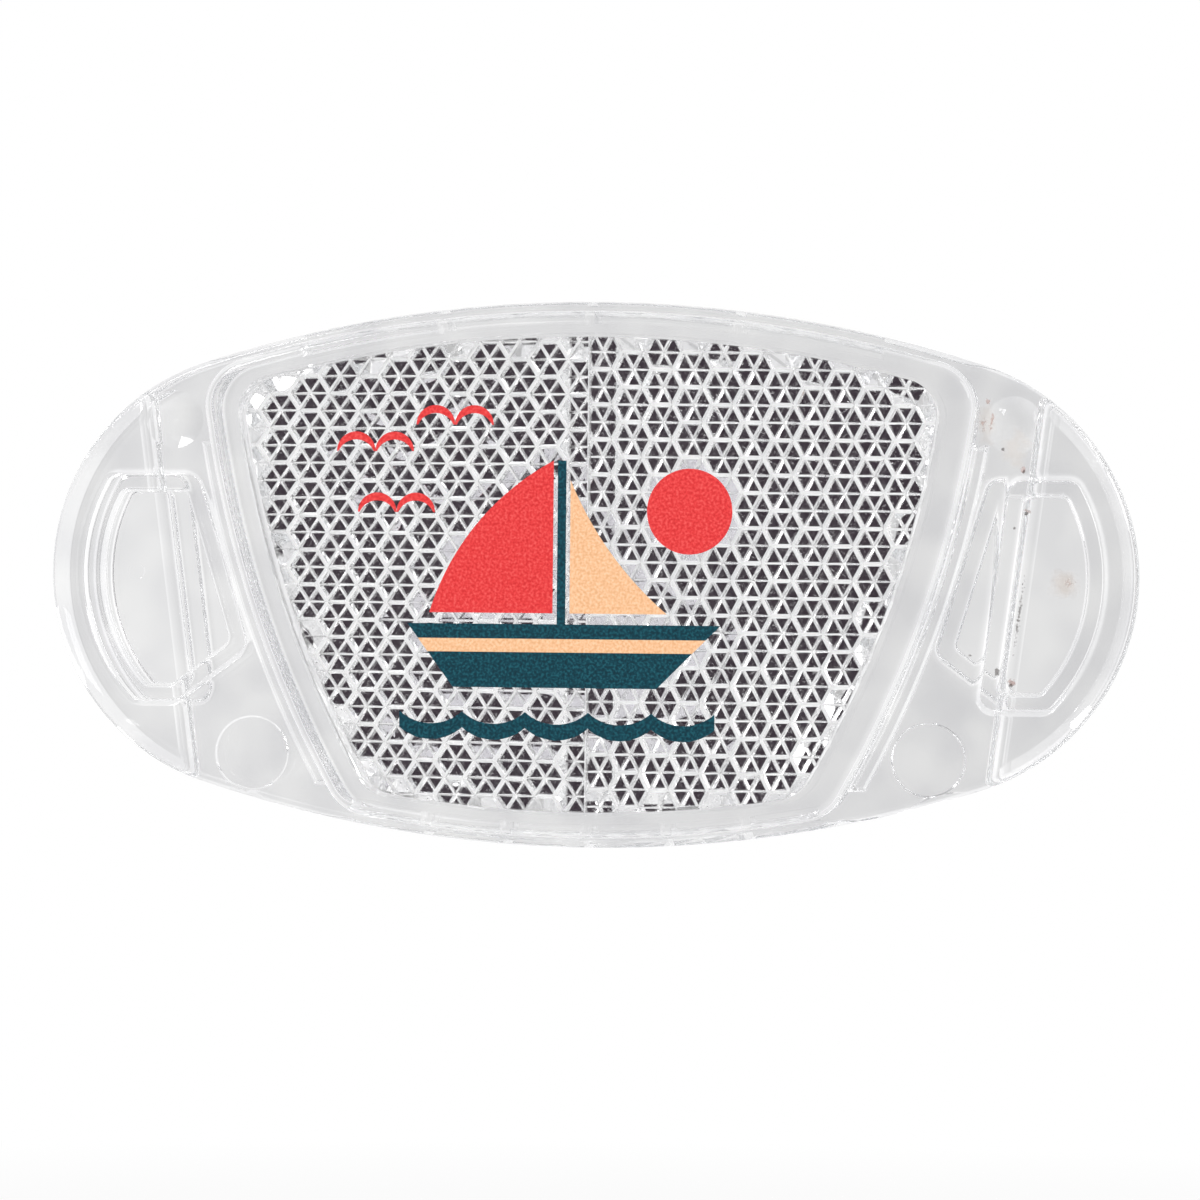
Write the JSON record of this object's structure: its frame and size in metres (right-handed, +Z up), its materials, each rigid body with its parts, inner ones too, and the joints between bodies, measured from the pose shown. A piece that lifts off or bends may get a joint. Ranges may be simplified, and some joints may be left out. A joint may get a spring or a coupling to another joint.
{
  "type": "bicycle spoke reflector",
  "caption": "Clear oval reflector that clips between two spokes: welded prism halves, slotted windowed ears and a small printed motif on its front lens.",
  "frame": {"origin": "centre of the oval, on the weld plane between the two halves", "axes": "+X along the oval to the right, +Z up the wheel's radius towards the rim, -Y out of the printed front lens"},
  "size_m": [0.09, 0.0105, 0.0448],
  "materials": {
    "clear_acrylic": "clear moulded acrylic, glossy",
    "red_ink": "opaque ink film",
    "teal_ink": "opaque ink film",
    "peach_ink": "opaque ink film"
  },
  "bodies": {
    "root": {"front_half": "clear_acrylic", "rear_half": "clear_acrylic", "print_red": "red_ink", "print_teal": "teal_ink", "print_peach": "peach_ink"}
  },
  "joints": []
}
